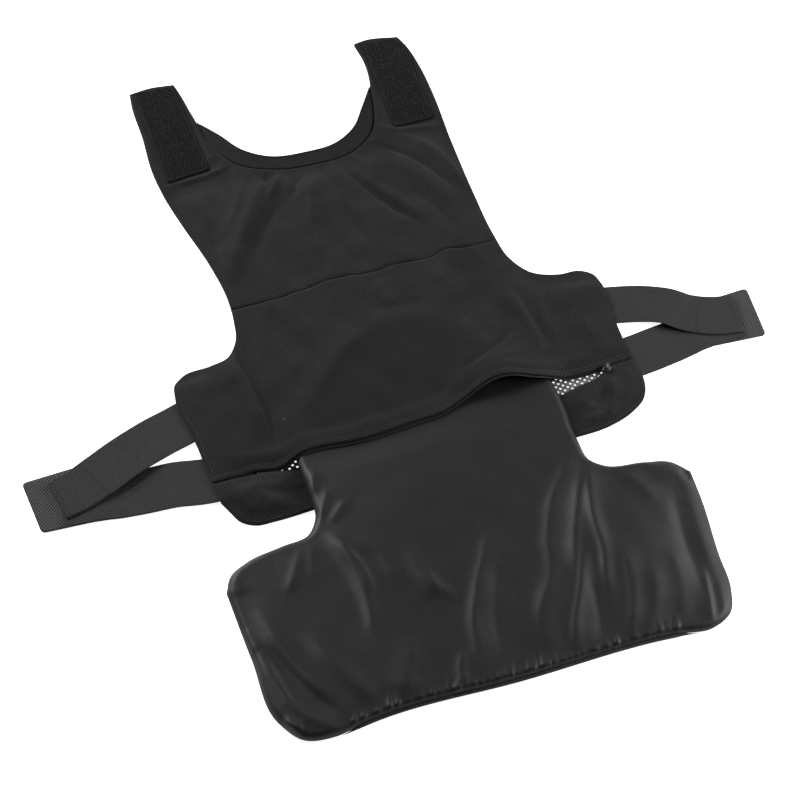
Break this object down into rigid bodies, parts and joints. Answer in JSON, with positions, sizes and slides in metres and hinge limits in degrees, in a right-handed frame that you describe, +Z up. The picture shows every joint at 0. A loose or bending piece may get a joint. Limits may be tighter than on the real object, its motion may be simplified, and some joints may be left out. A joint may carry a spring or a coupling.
{
  "type": "bulletproof vest",
  "caption": "One half of a concealable soft armour vest lying flat: black knit carrier with shoulder and side straps, its grey armour pack half drawn out of the zipped slit.",
  "frame": {"origin": "on the underside of the net sheet, in the middle of the vest's outline", "axes": "+Y runs from the hem to the shoulders, +X to the right of the picture, +Z up from the surface that the vest lies on"},
  "size_m": [0.7699, 0.8407, 0.0296],
  "materials": {
    "knit": "matte",
    "net": "matte",
    "facing": "matte",
    "pack_cover": "satin",
    "elastic": "matte",
    "hook": "matte",
    "loop": "matte",
    "zip_tape": "matte",
    "slider": "satin",
    "pull": "satin"
  },
  "bodies": {
    "root": {"back_net": "net", "neck_facing": "facing", "elastic_left_lower": "elastic", "elastic_left_upper": "elastic", "elastic_right_lower": "elastic", "elastic_right_upper": "elastic", "hook_tab_left": "hook", "hook_tab_right": "hook", "zip_tape_lower": "zip_tape", "front_tail": "knit", "armour_pack": "pack_cover", "pack_seam": "pack_cover", "zip_tape_upper": "zip_tape", "front_cover": "knit", "front_yoke": "knit", "loop_patch_left": "loop", "loop_patch_right": "loop", "zip_slider": "slider", "zip_pull": "pull"}
  },
  "joints": []
}
